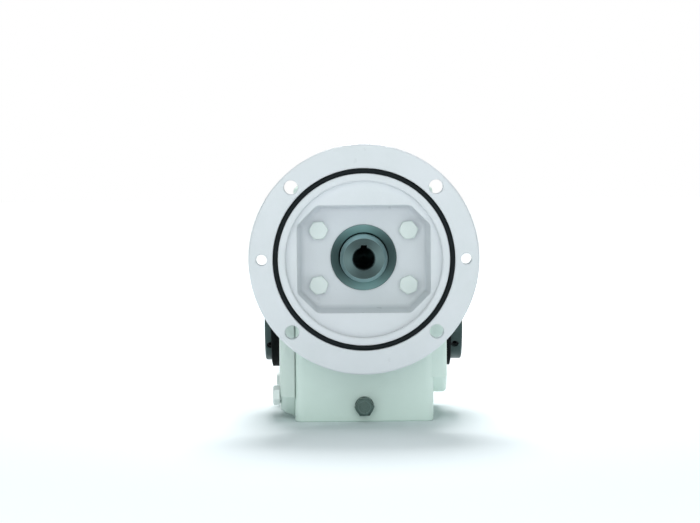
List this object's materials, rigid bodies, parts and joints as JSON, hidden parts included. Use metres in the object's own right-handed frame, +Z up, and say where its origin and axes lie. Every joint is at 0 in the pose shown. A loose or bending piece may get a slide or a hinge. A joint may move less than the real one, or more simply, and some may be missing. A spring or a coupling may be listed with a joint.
{
  "type": "worm gear reducer",
  "caption": "Right-angle worm gear reducer with a C-face motor flange, keyed quill input and hollow output shaft with locking collars.",
  "frame": {"origin": "centre of the hollow output bore, midway between the shaft ends", "axes": "+X along the output shaft, -Y out of the motor flange along the quill bore, +Z up from the machined base"},
  "size_m": [0.1684, 0.1698, 0.208],
  "materials": {
    "white_paint": "epoxy paint over cast iron, slight orange peel and cast texture",
    "stainless": "machined stainless steel",
    "plated_steel": "zinc plated steel",
    "seal_metal": "pressed steel seal case, phosphated",
    "black_rubber": "matte nitrile rubber",
    "gasket": "compressed fibre gasket",
    "bearing_steel": "ground and polished bearing steel",
    "cage_steel": "pressed steel ball cage",
    "bronze": "cast bronze, hobbed teeth",
    "cast_iron": "machined cast iron",
    "ground_steel": "turned and ground alloy steel, dark",
    "dark_steel": "blackened steel"
  },
  "bodies": {
    "casing": {"breather_body": "plated_steel", "breather_cap": "plated_steel", "cover_gasket": "gasket", "cover_screws": "white_paint", "drain_plug_front": "stainless", "drain_plug_rear": "stainless", "flange_gasket": "gasket", "flange_o_ring": "black_rubber", "flange_screws": "white_paint", "front_bearing_outer_race": "bearing_steel", "housing": "white_paint", "input_seal_case": "seal_metal", "input_seal_lip": "black_rubber", "left_bearing_outer_race": "bearing_steel", "left_seal_case": "seal_metal", "left_seal_lip": "black_rubber", "level_plug": "white_paint", "motor_flange": "white_paint", "output_cover": "white_paint", "plug_washers": "stainless", "rear_bearing_outer_race": "bearing_steel", "rear_cap": "white_paint", "rear_cap_gasket": "gasket", "rear_cap_screws": "white_paint", "right_bearing_outer_race": "bearing_steel", "right_seal_case": "seal_metal", "right_seal_lip": "black_rubber"},
    "worm": {"worm_shaft": "ground_steel", "front_bearing_inner_race": "bearing_steel", "rear_bearing_inner_race": "bearing_steel", "worm_retaining_ring": "dark_steel"},
    "output": {"output_shaft": "ground_steel", "worm_wheel_rim": "bronze", "worm_wheel_hub": "cast_iron", "wheel_key": "dark_steel", "wheel_spacer": "dark_steel", "left_bearing_inner_race": "bearing_steel", "right_bearing_inner_race": "bearing_steel", "left_collar": "dark_steel", "right_collar": "dark_steel", "left_set_screws": "dark_steel", "right_set_screws": "dark_steel", "left_rubber_ring": "black_rubber", "right_rubber_ring": "black_rubber"},
    "front_ball_set": {"front_bearing_cage": "cage_steel", "front_bearing_balls": "bearing_steel"},
    "rear_ball_set": {"rear_bearing_cage": "cage_steel", "rear_bearing_balls": "bearing_steel"},
    "left_ball_set": {"left_bearing_cage": "cage_steel", "left_bearing_balls": "bearing_steel"},
    "right_ball_set": {"right_bearing_cage": "cage_steel", "right_bearing_balls": "bearing_steel"}
  },
  "joints": [
    {"name": "output_spin", "type": "hinge", "parent": "casing", "child": "output", "pos_m": [0, 0, 0], "axis": [1, 0, 0], "continuous": true},
    {"name": "worm_spin", "type": "hinge", "parent": "casing", "child": "worm", "pos_m": [0, 0, 0.0524], "axis": [0, 1, 0], "continuous": true},
    {"name": "front_cage_spin", "type": "hinge", "parent": "casing", "child": "front_ball_set", "pos_m": [0, -0.049, 0.0524], "axis": [0, 1, 0], "continuous": true},
    {"name": "rear_cage_spin", "type": "hinge", "parent": "casing", "child": "rear_ball_set", "pos_m": [0, 0.0455, 0.0524], "axis": [0, 1, 0], "continuous": true},
    {"name": "left_cage_spin", "type": "hinge", "parent": "casing", "child": "left_ball_set", "pos_m": [-0.044, 0, 0], "axis": [1, 0, 0], "continuous": true},
    {"name": "right_cage_spin", "type": "hinge", "parent": "casing", "child": "right_ball_set", "pos_m": [0.044, 0, 0], "axis": [1, 0, 0], "continuous": true}
  ],
  "couplings": [
    {"joint": "worm_spin", "follows": "output_spin", "ratio": 30},
    {"joint": "front_cage_spin", "follows": "output_spin", "ratio": 12.545},
    {"joint": "rear_cage_spin", "follows": "output_spin", "ratio": 11.907},
    {"joint": "left_cage_spin", "follows": "output_spin", "ratio": 0.42725},
    {"joint": "right_cage_spin", "follows": "output_spin", "ratio": 0.42725}
  ]
}
